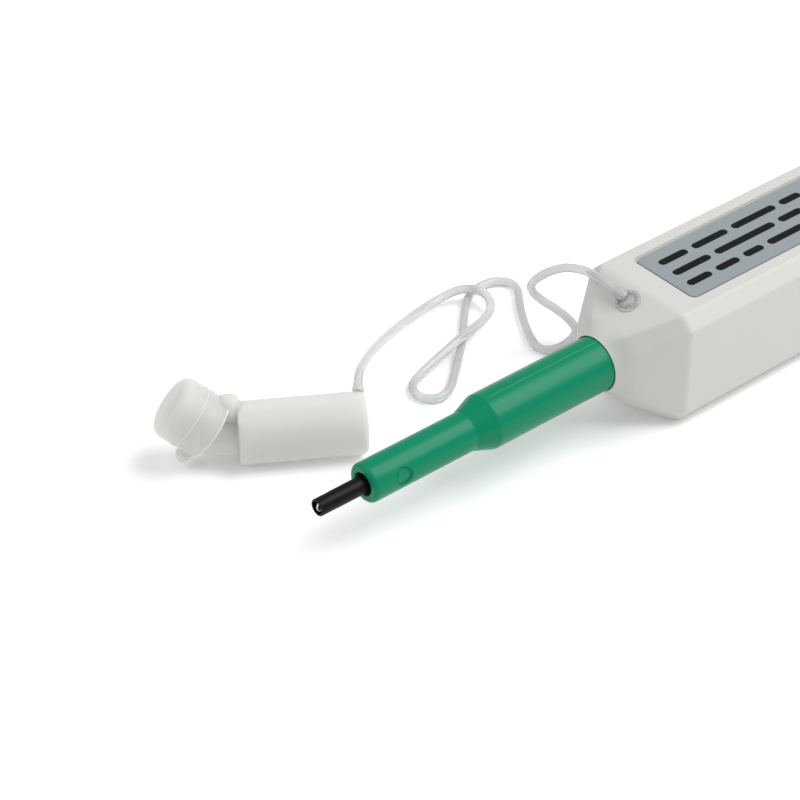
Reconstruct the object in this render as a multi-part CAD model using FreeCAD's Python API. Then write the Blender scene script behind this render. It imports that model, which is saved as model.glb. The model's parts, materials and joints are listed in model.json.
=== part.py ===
import FreeCAD, Part
import math
import os

# Push-type cleaner for fibre-optic connectors, with a guide cap on a tether.
# Millimetres. +X runs from the tip to the rear, +Z is up, z = 0 is the table.
# The origin is the centre of the housing's flat underside.

# --- driving dimensions: housing -------------------------------------------
LENGTH = 127.0          # housing with its rear plug
X0 = -LENGTH / 2.0      # x of the housing's front face
SHELL_LEN = 124.4       # shells alone, without the rear plug
HALF_W = 9.8            # half the width
HEIGHT = 17.6
CHAMFER = 1.9           # long edges
WALL = 1.6
FRONT_LEN = 8.0         # length of the tapered front
FRONT_HALF = 4.35       # half size of the small front face
FRONT_CHAMFER = 2.55
HOLE_R = 4.13           # nozzle hole
AXIS_Z = 9.0            # height of the nozzle axis
SEAM_Z = 1.9            # parting plane between the shells
LOWER_X1 = 8.6          # front end of the lower shell
LABEL_X1 = 12.3
LABEL_X2 = 112.0
LABEL_HALF = 5.7
LABEL_DEEP = 0.45
# --- nozzle and tip ---------------------------------------------------------
WIDE_R = 3.93
NARROW_R = 2.79
NOSE_X = -40.3          # front face of the nozzle
CONE_X1 = -23.3
CONE_X2 = -20.1
TIP_R = 1.22
TIP_X = -47.7           # end of the cleaning tip
STROKE = 12.0           # push travel
TIP_TRAVEL = 2.0        # sprung travel of the tip
TWIST_PER_MM = -15.0    # degrees, left-handed, so one stroke turns the tip by 180
# --- feed mechanism ---------------------------------------------------------
MODULE = 0.8
TEETH = 10
PITCH_R = MODULE * TEETH / 2.0
TAKE_UP_X = 47.0
SUPPLY_X = 60.5
ROLLER_X = 39.6
AXLE_R = 1.0
RUNNING = 0.06          # radial clearance on the axles
# --- guide cap --------------------------------------------------------------
CAP_R = 4.3
CAP_X = -35.7           # middle of the cap's axis, from the housing front
CAP_Y = 19.03
CAP_Z = 4.32
CAP_TURN = -31.4        # degrees about Z
CAP_ROLL = -15.0        # degrees about the cap's own axis
LID_OPEN = 38.5         # degrees, the lid as it lies
# --- tether -----------------------------------------------------------------
TETHER_D = 1.25
PLUG_R = 1.8

Vec = FreeCAD.Vector
EX = Vec(1, 0, 0)
EY = Vec(0, 1, 0)
EZ = Vec(0, 0, 1)


def at(x, y, z):
    """Point given from the housing front."""
    return Vec(X0 + x, y, z)


def box(x1, x2, y1, y2, z1, z2):
    return Part.makeBox(x2 - x1, y2 - y1, z2 - z1, at(x1, y1, z1))


def rod_x(x1, x2, r, y=0.0, z=AXIS_Z):
    return Part.makeCylinder(r, x2 - x1, at(x1, y, z), EX)


def rod_y(x, z, y1, y2, r):
    return Part.makeCylinder(r, y2 - y1, at(x, y1, z), EY)


def rod_z(x, y, z1, z2, r):
    return Part.makeCylinder(r, z2 - z1, at(x, y, z1), EZ)


def octagon(x, half, z1, z2, c):
    pts = [(half - c, z2), (half, z2 - c), (half, z1 + c), (half - c, z1)]
    pts += [(c - half, z1), (-half, z1 + c), (-half, z2 - c), (c - half, z2)]
    return [at(x, y, z) for y, z in pts]


def flat_face(points):
    return Part.Face(Part.makePolygon(points + [points[0]]))


def prism(sections):
    """Solid with flat faces through octagonal sections."""
    rings = [octagon(*s) for s in sections]
    faces = [flat_face(rings[0]), flat_face(rings[-1])]
    for p, q in zip(rings, rings[1:]):
        for i in range(8):
            j = (i + 1) % 8
            faces.append(flat_face([p[i], p[j], q[j], q[i]]))
    shell_of = Part.makeShell(faces)
    shell_of.sewShape()
    out = Part.makeSolid(Part.Shell(shell_of.Faces))
    if out.Volume < 0:
        out.reverse()
    return out


def turned(profile):
    """Solid of revolution about the nozzle axis from (x, r) points."""
    pts = [at(x, 0, AXIS_Z + r) for x, r in profile]
    face = Part.Face(Part.makePolygon(pts + [pts[0]]))
    return face.revolve(at(0, 0, AXIS_Z), EX, 360)


def fused(shapes):
    out = shapes[0]
    for s in shapes[1:]:
        out = out.fuse(s)
    return out.removeSplitter()


def cut_all(shape, tools):
    for t in tools:
        shape = shape.cut(t)
    return shape


NODES = {}


def save(name, shape):
    if shape.ShapeType == "Compound" and len(shape.Solids) == 1:
        shape = shape.Solids[0]
    if not shape.isValid():
        shape.fix(1e-6, 1e-6, 1e-6)
    NODES[name] = shape
    shape.exportStep("parts/" + name + ".step")
    bb = shape.BoundBox
    text = "%-16s solids %d valid %s vol %9.3f x %.2f %.2f y %.2f %.2f z %.2f %.2f"
    values = (name, len(shape.Solids), shape.isValid(), shape.Volume)
    values += (bb.XMin, bb.XMax, bb.YMin, bb.YMax, bb.ZMin, bb.ZMax)
    print(text % values)


os.makedirs("parts", exist_ok=True)

# ---------------------------------------------------------------- housing
FZ1 = AXIS_Z - FRONT_HALF
FZ2 = AXIS_Z + FRONT_HALF
small = (0.0, FRONT_HALF, FZ1, FZ2, FRONT_CHAMFER)
full_front = (FRONT_LEN, HALF_W, 0.0, HEIGHT, CHAMFER)
full_rear = (SHELL_LEN, HALF_W, 0.0, HEIGHT, CHAMFER)
outer = prism([small, full_front, full_rear])
IN_HALF = HALF_W - WALL
IN_Z2 = HEIGHT - WALL
in_small = (1.5, 4.2, AXIS_Z - 4.2, AXIS_Z + 4.2, 2.4)
in_front = (FRONT_LEN + 0.7, IN_HALF, WALL, IN_Z2, 1.3)
in_rear = (SHELL_LEN + 1.0, IN_HALF, WALL, IN_Z2, 1.3)
inner = prism([in_small, in_front, in_rear])
shell = outer.cut(inner)
shell = shell.cut(rod_x(-1.0, 3.0, HOLE_R))

# Screw bosses, spring seat and ribs on the upper shell.
BOSSES = [(11.3, 6.5), (11.3, -6.5), (113.0, 6.3), (113.0, -6.3)]
adds = []
for bx, by in BOSSES:
    adds.append(rod_z(bx, by, SEAM_Z, IN_Z2 + 0.3, 1.35))
SEAT_X = 104.0
seat = box(SEAT_X, SEAT_X + 1.6, -IN_HALF - 0.3, IN_HALF + 0.3, 3.4, IN_Z2 + 0.3)
adds.append(seat)
for rx in (88.0, 96.0, 118.0 - 2.6):
    rib = box(rx, rx + 1.0, -IN_HALF - 0.3, IN_HALF + 0.3, 14.6, IN_Z2 + 0.3)
    adds.append(rib)
adds = [a.common(outer) for a in adds]
lower_half = box(LOWER_X1, 140, -15, 15, -5, SEAM_Z)
upper = shell.cut(lower_half)
upper = fused([upper] + adds)
lower = shell.common(lower_half)

# Label recess.
lab = box(LABEL_X1 - 0.4, LABEL_X2 + 0.4, -LABEL_HALF - 0.4, LABEL_HALF + 0.4,
          HEIGHT - LABEL_DEEP, HEIGHT + 1)
lab = lab.makeFillet(1.0, [e for e in lab.Edges if abs(e.tangentAt(0).z) > 0.9])
upper = upper.cut(lab)

# Seat of the tether plug in the sloping top of the front.
SLOPE = math.atan2(HEIGHT - FZ2, FRONT_LEN)
NORMAL = Vec(-math.sin(SLOPE), 0, math.cos(SLOPE))
PLUG_X = 5.9
PLUG_Y = 0.3
PLUG_AT = at(PLUG_X, PLUG_Y, HEIGHT - (FRONT_LEN - PLUG_X) * math.tan(SLOPE))
seat_cut = Part.makeCylinder(PLUG_R + 0.08, 3.0, PLUG_AT - NORMAL * 0.55, NORMAL)
stem_cut = Part.makeCylinder(0.8, 6.0, PLUG_AT - NORMAL * 5.0, NORMAL)
upper = upper.cut(seat_cut).cut(stem_cut)

# Tether route: hand-set corners of a line with rounded turns.
ROUTE = [
    (-90.8, 17.0, 7.9),
    (-89.9, 18.2, 8.8),
    (-86.0, 21.9, 7.3),
    (-79.7, 26.2, 5.2),
    (-72.7, 29.9, 3.2),
    (-64.0, 33.4, 1.0),
    (-58.9, 32.2, 2.3),
    (-57.2, 28.5, 2.1),
    (-59.4, 25.6, 1.0),
    (-67.1, 22.9, 2.5),
    (-74.7, 22.1, 0.7),
    (-78.7, 20.6, 0.65),
    (-79.7, 17.9, 0.65),
    (-78.0, 15.7, 0.65),
    (-75.3, 16.1, 0.65),
    (-71.6, 19.2, 0.65),
    (-66.0, 24.2, 0.65),
    (-60.8, 29.8, 0.65),
    (-57.4, 32.4, 0.65),
    (-52.9, 32.4, 0.65),
    (-50.9, 29.4, 0.65),
    (-55.1, 24.2, 0.65),
    (-58.6, 18.2, 0.65),
    (-59.4, 15.2, 0.65),
    (-57.4, 13.8, 0.65),
    (-54.6, 13.9, 0.9),
    (-53.5, 13.7, 2.4),
    (-54.9, 15.6, 4.9),
    (-58.8, 17.8, 8.6),
    (-59.6, 17.5, 11.4),
    (-57.4, 14.2, 14.6),
    (-57.2, 9.6, 16.6),
    (-58.0, 5.8, 17.6),
    (-58.0, 3.6, 17.5),
    (-58.0, 2.0, 17.35),
]
route = [Vec(*p) for p in ROUTE]


def rounded_wire(points, share=0.45):
    """Straight runs joined by tangent arcs, tangent length share x shorter run."""
    edges = []
    start = points[0]
    radii = []
    for i in range(1, len(points) - 1):
        a, b, c = points[i - 1], points[i], points[i + 1]
        u = (b - a).normalize()
        w = (c - b).normalize()
        half = u.getAngle(w) / 2.0
        t = share * min((b - a).Length, (c - b).Length)
        r = t / math.tan(half)
        radii.append(r)
        p1 = b - u * t
        p2 = b + w * t
        bis = (w - u).normalize()
        centre = b + bis * (r / math.cos(half))
        mid = centre - bis * r
        edges.append(Part.LineSegment(start, p1).toShape())
        edges.append(Part.Arc(p1, mid, p2).toShape())
        start = p2
    edges.append(Part.LineSegment(start, points[-1]).toShape())
    return Part.Wire(edges), radii


tether_wire, tether_radii = rounded_wire(route)
print("tether radii " + " ".join("%.1f" % r for r in tether_radii))
print("tether length %.2f" % tether_wire.Length)
head = (route[1] - route[0]).normalize()
ring = Part.Wire(Part.makeCircle(TETHER_D / 2.0, route[0], head))
tether = tether_wire.makePipeShell([ring], True, False)
want = math.pi * (TETHER_D / 2.0) ** 2 * tether_wire.Length
print("tether volume %.2f wanted %.2f" % (tether.Volume, want))
save("tether_cord", tether)

# Plug: disc in its seat, stem with a barb inside, short collar to the tether.
tail = (route[-1] - route[-2]).normalize()
disc = Part.makeCylinder(PLUG_R, 0.8, PLUG_AT - NORMAL * 0.55, NORMAL)
dome = Part.makeCylinder(1.0, 0.4, PLUG_AT + NORMAL * 0.2, NORMAL)
stem = Part.makeCylinder(0.75, 2.1, PLUG_AT - NORMAL * 2.6, NORMAL)
barb = Part.makeCone(0.6, 1.15, 0.8, PLUG_AT - NORMAL * 3.2, NORMAL)
collar = Part.makeCylinder(0.78, 1.9, route[-1], tail)
plug = fused([disc, dome, stem, barb, collar])
save("tether_plug", plug)
collar_gap = Part.makeCylinder(0.86, 2.4, route[-1] - tail * 0.4, tail)
upper = upper.cut(collar_gap)

# Screws from below.
SHANK_R = 0.8
HEAD_R = 1.35
screws = []
for bx, by in BOSSES:
    upper = upper.cut(rod_z(bx, by, SEAM_Z - 1, 9.5, SHANK_R))
    lower = lower.fuse(rod_z(bx, by, 0.6, SEAM_Z, 1.35))
    lower = cut_all(lower, [rod_z(bx, by, -1, 3, SHANK_R + 0.1),
                            rod_z(bx, by, -1, 0.95, HEAD_R + 0.1)])
    s = fused([rod_z(bx, by, 0.2, 0.95, HEAD_R), rod_z(bx, by, 0.95, 8.0, SHANK_R)])
    s = s.cut(box(bx - 1.0, bx + 1.0, by - 0.15, by + 0.15, 0.1, 0.5))
    s = s.cut(box(bx - 0.15, bx + 0.15, by - 1.0, by + 1.0, 0.1, 0.5))
    screws.append(s)
save("housing_screws", Part.makeCompound(screws))

label = box(LABEL_X1, LABEL_X2, -LABEL_HALF, LABEL_HALF,
            HEIGHT - LABEL_DEEP, HEIGHT - 0.15)
label = label.makeFillet(0.7, [e for e in label.Edges if abs(e.tangentAt(0).z) > 0.9])
save("label_panel", label)

# Rear plug with a chamfered back and a spigot inside the shells.
rear_a = (SHELL_LEN, HALF_W, 0.0, HEIGHT, CHAMFER)
rear_b = (LENGTH - 1.2, HALF_W, 0.0, HEIGHT, CHAMFER)
rear_c = (LENGTH, HALF_W - 1.2, 1.2, HEIGHT - 1.2, CHAMFER)
plate = prism([rear_a, rear_b, rear_c])
sp_a = (SHELL_LEN - 5.0, IN_HALF - 0.05, WALL + 0.05, IN_Z2 - 0.05, 1.28)
sp_b = (SHELL_LEN, IN_HALF - 0.05, WALL + 0.05, IN_Z2 - 0.05, 1.28)
hol_a = (SHELL_LEN - 6.0, IN_HALF - 1.4, WALL + 1.4, IN_Z2 - 1.4, 1.0)
hol_b = (SHELL_LEN - 0.2, IN_HALF - 1.4, WALL + 1.4, IN_Z2 - 1.4, 1.0)
spigot = prism([sp_a, sp_b]).cut(prism([hol_a, hol_b]))
save("rear_plug", fused([plate, spigot]))

# ---------------------------------------------------------------- twist drive
NUT_X = 33.0
NUT_T = 0.8
SQ = 1.6                # half side of the twisted square rod


def square(x, half, turn):
    pts = []
    for k in range(4):
        a = math.radians(turn + 45 + 90 * k)
        r = half * math.sqrt(2)
        pts.append(at(x, r * math.cos(a), AXIS_Z + r * math.sin(a)))
    return Part.makePolygon(pts + [pts[0]])


nut = box(NUT_X, NUT_X + NUT_T, -3.6, 3.6, 5.4, 12.6)
nut = nut.fuse(box(NUT_X - 1.2, NUT_X + 2.0, -1.6, 1.6, WALL, 5.6))
nut = nut.fuse(box(NUT_X - 1.2, NUT_X + 2.0, -1.6, 1.6, 12.4, IN_Z2))
mid_turn = (NUT_X + NUT_T / 2.0 - 19.8) * TWIST_PER_MM
hole_a = square(NUT_X - 0.1, SQ + 0.3, mid_turn)
hole_b = square(NUT_X + NUT_T + 0.1, SQ + 0.3, mid_turn)
nut = nut.cut(Part.makeLoft([hole_a, hole_b], True, True)).removeSplitter()
save("twist_nut", nut)

rod = fused([rod_x(-14.0, -6.0, 0.92), rod_x(-6.0, 15.9, 2.5),
             rod_x(15.9, 18.6, 2.2), rod_x(18.6, 19.8, 3.2)])
steps = []
n_steps = 16
for k in range(n_steps + 1):
    x = 19.8 + k * 1.0
    steps.append(square(x, SQ, (x - 19.8) * TWIST_PER_MM))
twisted = Part.makeLoft(steps, True, False)
rod = rod.fuse(twisted)
rod = rod.cut(rod_x(-15.0, 37.0, 0.7))
save("twist_rod", rod)

# ---------------------------------------------------------------- rack
RACK_Y1 = 5.1
RACK_Y2 = 6.5
PITCH_Z = AXIS_Z - PITCH_R
ADD = 0.8 * MODULE
DED = 0.95 * MODULE
PRESSURE = math.radians(25.0)
PITCH = math.pi * MODULE
PLAY = 0.13
RACK_X1 = TAKE_UP_X - 2.5 * PITCH
RACK_N = 10


def rack_profile():
    pts = [(RACK_X1, WALL), (RACK_X1, PITCH_Z - DED)]
    for k in range(RACK_N):
        c = TAKE_UP_X + (k - 2) * PITCH + PITCH / 2.0
        half = PITCH / 4.0 - PLAY / 2.0
        foot = half + DED * math.tan(PRESSURE)
        tip = half - ADD * math.tan(PRESSURE)
        pts.append((c - foot, PITCH_Z - DED))
        pts.append((c - tip, PITCH_Z + ADD))
        pts.append((c + tip, PITCH_Z + ADD))
        pts.append((c + foot, PITCH_Z - DED))
    end = TAKE_UP_X + (RACK_N - 2) * PITCH
    pts.append((end, PITCH_Z - DED))
    pts.append((end, WALL))
    return pts


wire = [at(x, RACK_Y1, z) for x, z in rack_profile()]
rack = Part.Face(Part.makePolygon(wire + [wire[0]])).extrude(Vec(0, RACK_Y2 - RACK_Y1, 0))
save("feed_rack", rack)


def involute_gear(cx, y1, y2, bore):
    """Spur gear with involute flanks, one tooth straight down."""
    base = PITCH_R * math.cos(PRESSURE)
    top = PITCH_R + ADD
    root = PITCH_R - DED
    inv_p = math.tan(PRESSURE) - PRESSURE
    half_pitch = (PITCH / 4.0 - PLAY / 2.0) / PITCH_R
    flank = []
    for k in range(7):
        r = base + (top - base) * k / 6.0
        a = math.acos(min(1.0, base / r))
        inv = math.tan(a) - a
        flank.append((r, half_pitch + inv_p - inv))
    pts = []
    for t in range(TEETH):
        mid = -math.pi / 2.0 + 2 * math.pi * t / TEETH
        left = [(root, mid - flank[0][1])]
        left += [(r, mid - h) for r, h in flank]
        right = [(r, mid + h) for r, h in reversed(flank)]
        right += [(root, mid + flank[0][1])]
        for r, a in left + right:
            pts.append(at(cx + r * math.cos(a), y1, AXIS_Z + r * math.sin(a)))
    gear = Part.Face(Part.makePolygon(pts + [pts[0]])).extrude(Vec(0, y2 - y1, 0))
    return gear.cut(rod_y(cx, AXIS_Z, y1 - 1, y2 + 1, bore))


save("feed_pinion", involute_gear(TAKE_UP_X, 5.0, 6.6, AXLE_R + RUNNING))


def spool(cx, flange_r):
    body = fused([rod_y(cx, AXIS_Z, -6.4, -5.6, flange_r), rod_y(cx, AXIS_Z, 3.6, 4.3, flange_r),
                  rod_y(cx, AXIS_Z, -6.4, 4.3, 1.7)])
    body = body.cut(rod_y(cx, AXIS_Z, -7, 5, AXLE_R + RUNNING))
    for k in range(5):
        a = math.radians(90 + 72 * k)
        hx = cx + 3.6 * math.cos(a)
        hz = AXIS_Z + 3.6 * math.sin(a)
        body = body.cut(rod_y(hx, hz, 3.0, 5.0, 0.7))
    return body


def winding(cx, r):
    return rod_y(cx, AXIS_Z, -5.6, 3.6, r).cut(rod_y(cx, AXIS_Z, -6, 4, 1.7))


save("take_up_spool", spool(TAKE_UP_X, 5.0))
save("take_up_thread", winding(TAKE_UP_X, 2.5))
save("supply_spool", spool(SUPPLY_X, 5.6))
save("supply_thread", winding(SUPPLY_X, 4.9))

# Ratchet wheel between the take-up spool and the pinion.
pts = []
for k in range(12):
    a = 2 * math.pi * k / 12
    for r, b in ((4.3, a), (3.5, a + 0.06)):
        pts.append(at(TAKE_UP_X + r * math.cos(b), 4.3, AXIS_Z + r * math.sin(b)))
ratchet = Part.Face(Part.makePolygon(pts + [pts[0]])).extrude(Vec(0, 0.55, 0))
ratchet = ratchet.cut(rod_y(TAKE_UP_X, AXIS_Z, 4, 6, AXLE_R + RUNNING))
save("ratchet_wheel", ratchet)

roller = fused([rod_y(ROLLER_X, AXIS_Z, -2.0, 2.0, 1.5), rod_y(ROLLER_X, AXIS_Z, -2.4, -2.0, 2.0),
                rod_y(ROLLER_X, AXIS_Z, 2.0, 2.4, 2.0)])
roller = roller.cut(rod_y(ROLLER_X, AXIS_Z, -3, 3, AXLE_R + RUNNING))
save("guide_roller", roller)

# ---------------------------------------------------------------- carriage
PLATE_Y1 = 6.9
PLATE_Y2 = 7.9
CZ1 = 2.75
CZ2 = 14.85
frame = [box(16.0, 18.5, -PLATE_Y2, PLATE_Y2, CZ1, CZ2)]
frame.append(box(70.0, 72.0, -PLATE_Y2, PLATE_Y2, CZ1, CZ2))
frame.append(box(16.0, 72.0, -PLATE_Y2, -PLATE_Y1, CZ1, CZ2))
frame.append(box(16.0, 72.0, PLATE_Y1, PLATE_Y2, CZ1, CZ2))
frame.append(rod_x(72.0, 75.0, 3.1))
frame.append(rod_y(ROLLER_X, AXIS_Z, -PLATE_Y2, -2.5, 1.6))
frame.append(rod_y(ROLLER_X, AXIS_Z, 2.5, PLATE_Y2, 1.6))
carriage = fused(frame)
carriage = carriage.cut(rod_x(15.0, 19.0, 2.3))
for ax in (TAKE_UP_X, SUPPLY_X, ROLLER_X):
    carriage = carriage.cut(rod_y(ax, AXIS_Z, -9, 9, AXLE_R))
for wx in (24.0, 66.0):
    slot = box(wx - 2.5, wx + 2.5, -9, 9, 6.0, 12.0)
    carriage = carriage.cut(slot)
save("carriage_frame", carriage)
for name, ax in (("take_up_axle", TAKE_UP_X), ("supply_axle", SUPPLY_X), ("roller_axle", ROLLER_X)):
    save(name, rod_y(ax, AXIS_Z, -PLATE_Y2, PLATE_Y2, AXLE_R))

# ---------------------------------------------------------------- nozzle
sleeve = turned([
    (NOSE_X, 1.75), (NOSE_X, NARROW_R - 0.55), (NOSE_X + 0.17, NARROW_R - 0.17),
    (NOSE_X + 0.55, NARROW_R), (CONE_X1, NARROW_R), (CONE_X2, WIDE_R), (14.0, WIDE_R),
    (14.0, 6.0), (16.0, 6.0), (16.0, 2.9), (CONE_X2 - 0.4, 2.9), (CONE_X1 - 0.6, 1.95),
    (NOSE_X + 4.0, 1.95), (NOSE_X + 4.0, 1.55), (NOSE_X + 0.2, 1.55),
])
BOSS_X = NOSE_X + 4.7
BOSS_A = math.radians(10.0)
boss_dir = Vec(0, -math.cos(BOSS_A), math.sin(BOSS_A))
boss_at = at(BOSS_X, 0, AXIS_Z)
sleeve = sleeve.cut(Part.makeCylinder(1.3, 4.0, boss_at, boss_dir))
save("nozzle_sleeve", sleeve)
snap = Part.makeCylinder(1.3, 3.2, boss_at, boss_dir)
snap = snap.cut(Part.makeCylinder(0.75, 1.0, boss_at + boss_dir * 2.5, boss_dir))
snap = snap.cut(rod_x(BOSS_X - 4, BOSS_X + 4, 1.95))
snap = snap.common(rod_x(BOSS_X - 4, BOSS_X + 4, NARROW_R - 0.19))
save("nozzle_snap", snap)

# ---------------------------------------------------------------- tip
LEG = 0.55
tube = turned([
    (TIP_X, 0.95), (TIP_X, TIP_R - 0.1), (TIP_X + 0.1, TIP_R), (NOSE_X, TIP_R),
    (NOSE_X + 0.2, 1.02), (-20.0, 1.02), (-20.0, 2.6), (-18.5, 2.6), (-18.5, 1.7),
    (-8.5, 1.7), (-8.5, 0.98), (-18.0, 0.98), (-18.0, 0.85), (NOSE_X - 0.5, 0.85),
    (NOSE_X - 0.5, 0.95),
])
save("tip_tube", tube)
core = rod_x(TIP_X + 0.7, NOSE_X - 0.6, 0.95).fuse(rod_x(NOSE_X - 0.6, -19.0, 0.85))
for dz in (-LEG, LEG):
    core = core.cut(rod_x(TIP_X, -18.0, 0.26, 0.0, AXIS_Z + dz))
save("tip_core", core)
loop = Part.makeTorus(LEG, 0.25, at(TIP_X + 0.8, 0, AXIS_Z), EY, 0, 360, 360)
loop = loop.common(box(TIP_X - 0.5, TIP_X + 0.8, -1, 1, 7, 11))
legs = [rod_x(TIP_X + 0.8, -19.0, 0.25, 0.0, AXIS_Z + dz) for dz in (-LEG, LEG)]
save("tip_thread", fused([loop] + legs))


def coil(x1, x2, mean, wire_r, turns):
    height = x2 - x1 - 2 * wire_r
    helix = Part.makeHelix(height / turns, height, mean)
    start = Part.Wire(Part.makeCircle(wire_r, Vec(mean, 0, 0), Vec(0, 1, 0)))
    body = Part.Wire(helix).makePipeShell([start], True, True)
    body.Placement = FreeCAD.Placement(at(x1 + wire_r, 0, AXIS_Z), FreeCAD.Rotation(EZ, EX))
    return body


save("return_spring", coil(72.0, SEAT_X, 3.9, 0.4, 11))
save("tip_spring", coil(-18.5, -6.0, 2.15, 0.25, 6))

# ---------------------------------------------------------------- guide cap
# Built along its own X axis, open end at +X, strap on its +Z side.


def cyl(x1, x2, r):
    return Part.makeCylinder(r, x2 - x1, Vec(x1, 0, 0), EX)


def cone(x1, x2, r1, r2):
    return Part.makeCone(r1, r2, x2 - x1, Vec(x1, 0, 0), EX)


def place_cap(shape):
    s = shape.copy()
    s.rotate(Vec(0, 0, 0), EX, CAP_ROLL)
    s.rotate(Vec(0, 0, 0), EZ, CAP_TURN)
    s.translate(at(CAP_X, CAP_Y, CAP_Z))
    return s


MOUTH = 8.9
SHOULDER = -8.4
NECK_R = 2.5
NECK_END = -13.4
HINGE_X = -8.9
HINGE_Z = 5.05
KNUCKLE = 0.75
cap = fused([cyl(SHOULDER + 0.3, MOUTH - 0.5, CAP_R), cone(MOUTH - 0.5, MOUTH, CAP_R, CAP_R - 0.5),
             cone(SHOULDER, SHOULDER + 0.3, CAP_R - 0.3, CAP_R),
             cyl(NECK_END + 0.5, SHOULDER + 1.0, NECK_R),
             cone(NECK_END, NECK_END + 0.5, NECK_R - 0.5, NECK_R)])
strap = Part.makeCylinder(KNUCKLE, 1.8, Vec(HINGE_X, -0.9, HINGE_Z), EY)
web = Part.makePolygon([Vec(HINGE_X, -0.9, HINGE_Z + KNUCKLE), Vec(-7.6, -0.9, 5.2), Vec(-6.6, -0.9, 3.6),
                        Vec(-7.9, -0.9, 3.6), Vec(HINGE_X + 0.3, -0.9, HINGE_Z - 0.6),
                        Vec(HINGE_X, -0.9, HINGE_Z + KNUCKLE)])
web = Part.Face(web).extrude(Vec(0, 1.8, 0))
cap = fused([cap, strap, web])
cap = cap.cut(cyl(SHOULDER + 1.0, MOUTH + 1, 2.84))
cap = cap.cut(cone(MOUTH - 0.5, MOUTH + 0.01, 2.84, 3.35))
cap = cap.cut(cyl(NECK_END - 1, SHOULDER + 2, 1.28))
cap = place_cap(cap)
lug = Part.makeCylinder(0.95, 1.9, route[0], (route[0] - route[1]).normalize())
lug = lug.fuse(Part.makeCone(0.68, 1.25, 1.4, route[0], (route[0] - route[1]).normalize()))
bore = cyl(SHOULDER, MOUTH - 0.5, 2.84).fuse(cone(MOUTH - 0.5, MOUTH, 2.84, 3.35))
bore = place_cap(bore.fuse(cyl(MOUTH, MOUTH + 3, 3.35)))
cap = fused([cap, lug.cut(bore)])
save("guide_cap", cap)

LID_R = 4.45
LID_IN = 3.9
LID_X1 = -8.75
LID_LEN = 6.8
lid = fused([cyl(LID_X1 - LID_LEN + 1.0, LID_X1, LID_R),
             cone(LID_X1 - LID_LEN, LID_X1 - LID_LEN + 1.0, LID_R - 0.9, LID_R)])
lid = lid.cut(cyl(LID_X1 - 5.9, LID_X1 + 1, LID_IN))
lid = lid.fuse(Part.makeBox(1.9, 2.6, 2.1, Vec(LID_X1 - 2.0, -1.3, -6.0)))
for y1 in (-2.0, 1.05):
    ear = Part.makeCylinder(KNUCKLE, 0.95, Vec(HINGE_X, y1, HINGE_Z), EY)
    arm = Part.makePolygon([Vec(HINGE_X, y1, HINGE_Z + KNUCKLE), Vec(HINGE_X - 2.2, y1, 4.6),
                            Vec(HINGE_X - 2.2, y1, 4.0), Vec(HINGE_X - 0.1, y1, 4.0),
                            Vec(HINGE_X, y1, HINGE_Z + KNUCKLE)])
    lid = lid.fuse(ear).fuse(Part.Face(arm).extrude(Vec(0, 0.95, 0)))
lid = lid.cut(cyl(LID_X1 - 5.9, LID_X1 + 1, LID_IN))
lid = lid.cut(Part.makeCylinder(KNUCKLE + 0.12, 2.1, Vec(HINGE_X, -1.05, HINGE_Z), EY))
lid = lid.removeSplitter()
lid.rotate(Vec(HINGE_X, 0, HINGE_Z), EY, LID_OPEN)
save("cap_lid", place_cap(lid))

save("housing_upper", upper.removeSplitter())
save("housing_lower", lower.removeSplitter())

# Values for the record.
probe = Part.makeLine(Vec(HINGE_X, 0, HINGE_Z), Vec(HINGE_X, 10, HINGE_Z))
probe = place_cap(probe)
a, b = probe.Vertexes[0].Point, probe.Vertexes[1].Point
print("hinge at", a, "axis", (b - a).normalize())
probe = place_cap(Part.makeLine(Vec(MOUTH, 0, 0), Vec(NECK_END, 0, 0)))
print("cap mouth", probe.Vertexes[0].Point, "neck end", probe.Vertexes[1].Point)
print("nodes", len(NODES))
names = sorted(NODES)
for i, n in enumerate(names):
    for m in names[i + 1:]:
        if not NODES[n].BoundBox.intersect(NODES[m].BoundBox):
            continue
        v = NODES[n].common(NODES[m]).Volume
        if v > 1e-4:
            print("overlap", n, m, round(v, 4))
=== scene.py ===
import json
import math

import bpy
import bmesh
import numpy as np
from mathutils import Matrix


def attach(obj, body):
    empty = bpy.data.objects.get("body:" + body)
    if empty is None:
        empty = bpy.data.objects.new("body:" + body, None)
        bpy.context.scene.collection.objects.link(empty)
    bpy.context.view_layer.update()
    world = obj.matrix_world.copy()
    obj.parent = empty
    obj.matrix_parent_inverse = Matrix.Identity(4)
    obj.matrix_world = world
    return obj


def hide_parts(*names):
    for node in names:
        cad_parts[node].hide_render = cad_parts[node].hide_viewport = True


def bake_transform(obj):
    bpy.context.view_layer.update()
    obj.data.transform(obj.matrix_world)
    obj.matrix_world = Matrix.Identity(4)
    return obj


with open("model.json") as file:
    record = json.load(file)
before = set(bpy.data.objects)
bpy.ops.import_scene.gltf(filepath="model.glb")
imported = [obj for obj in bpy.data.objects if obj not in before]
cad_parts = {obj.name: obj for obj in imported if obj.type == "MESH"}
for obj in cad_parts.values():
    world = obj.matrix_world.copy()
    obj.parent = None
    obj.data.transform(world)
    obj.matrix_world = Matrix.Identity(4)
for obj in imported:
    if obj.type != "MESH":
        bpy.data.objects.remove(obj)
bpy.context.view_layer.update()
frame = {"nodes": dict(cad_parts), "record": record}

# Sizes in millimetres, measured from the front of the housing along the pen.
LENGTH = 127.0
FRONT_AT = -LENGTH / 2.0
HALF_W = 9.8
HEIGHT = 17.6
CHAMFER = 1.9
FRONT_LEN = 8.0
FRONT_HALF = 4.35
FRONT_CHAMFER = 2.55
HOLE_R = 4.03
AXIS_Z = 9.0
SHELL_LEN = 124.4
LOWER_AT = 8.6
LABEL_X1 = 12.3
LABEL_X2 = 112.0
LABEL_HALF = 5.7
LABEL_DEEP = 0.45
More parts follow.
